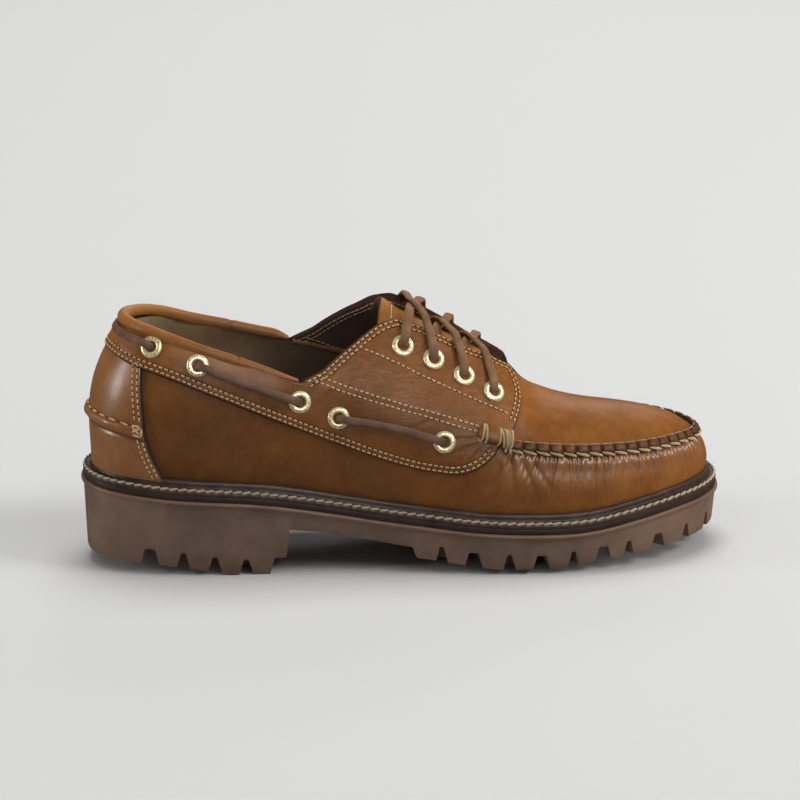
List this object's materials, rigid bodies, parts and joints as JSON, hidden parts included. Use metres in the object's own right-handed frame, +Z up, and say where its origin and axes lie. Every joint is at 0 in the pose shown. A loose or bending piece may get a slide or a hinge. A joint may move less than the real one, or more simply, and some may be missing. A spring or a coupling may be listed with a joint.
{
  "type": "camp moccasin",
  "caption": "Lace-up leather camp moccasin for the right foot: hollow upper with raised moc-toe seam, saddle collar laced with rawhide through brass eyelets, storm welt and rubber lug sole.",
  "frame": {"origin": "on the floor under the middle of the sole, at half its length and width", "axes": "+X towards the toe, +Y towards the inner (medial) side, +Z up"},
  "size_m": [0.3, 0.1053, 0.1215],
  "materials": {
    "sole_rubber": "satin moulded brown rubber",
    "welt_leather": "dark edge-dressed leather",
    "lining_leather": "soft tan lining",
    "eyelet_brass": "pale polished brass",
    "lace_leather": "brown rawhide strip",
    "upper_leather": "tan pull-up leather, waxed"
  },
  "bodies": {
    "root": {"collar_roll": "upper_leather", "eyelet_collar_1_lateral": "eyelet_brass", "eyelet_collar_1_medial": "eyelet_brass", "eyelet_collar_2_lateral": "eyelet_brass", "eyelet_collar_2_medial": "eyelet_brass", "eyelet_collar_3_lateral": "eyelet_brass", "eyelet_collar_3_medial": "eyelet_brass", "eyelet_collar_4_lateral": "eyelet_brass", "eyelet_collar_4_medial": "eyelet_brass", "eyelet_collar_5_lateral": "eyelet_brass", "eyelet_collar_5_medial": "eyelet_brass", "eyelet_throat_1_lateral": "eyelet_brass", "eyelet_throat_1_medial": "eyelet_brass", "eyelet_throat_2_lateral": "eyelet_brass", "eyelet_throat_2_medial": "eyelet_brass", "eyelet_throat_3_lateral": "eyelet_brass", "eyelet_throat_3_medial": "eyelet_brass", "eyelet_throat_4_lateral": "eyelet_brass", "eyelet_throat_4_medial": "eyelet_brass", "heel_counter": "upper_leather", "heel_foxing": "upper_leather", "insole": "lining_leather", "lace_crossing_1": "lace_leather", "lace_crossing_2": "lace_leather", "lace_crossing_3": "lace_leather", "lace_heel": "lace_leather", "lace_side_1_lateral": "lace_leather", "lace_side_1_medial": "lace_leather", "lace_side_2_lateral": "lace_leather", "lace_side_2_medial": "lace_leather", "midsole": "welt_leather", "moc_seam": "upper_leather", "outsole": "sole_rubber", "saddle": "upper_leather", "tongue": "upper_leather", "upper": "upper_leather", "welt": "welt_leather"}
  },
  "joints": []
}
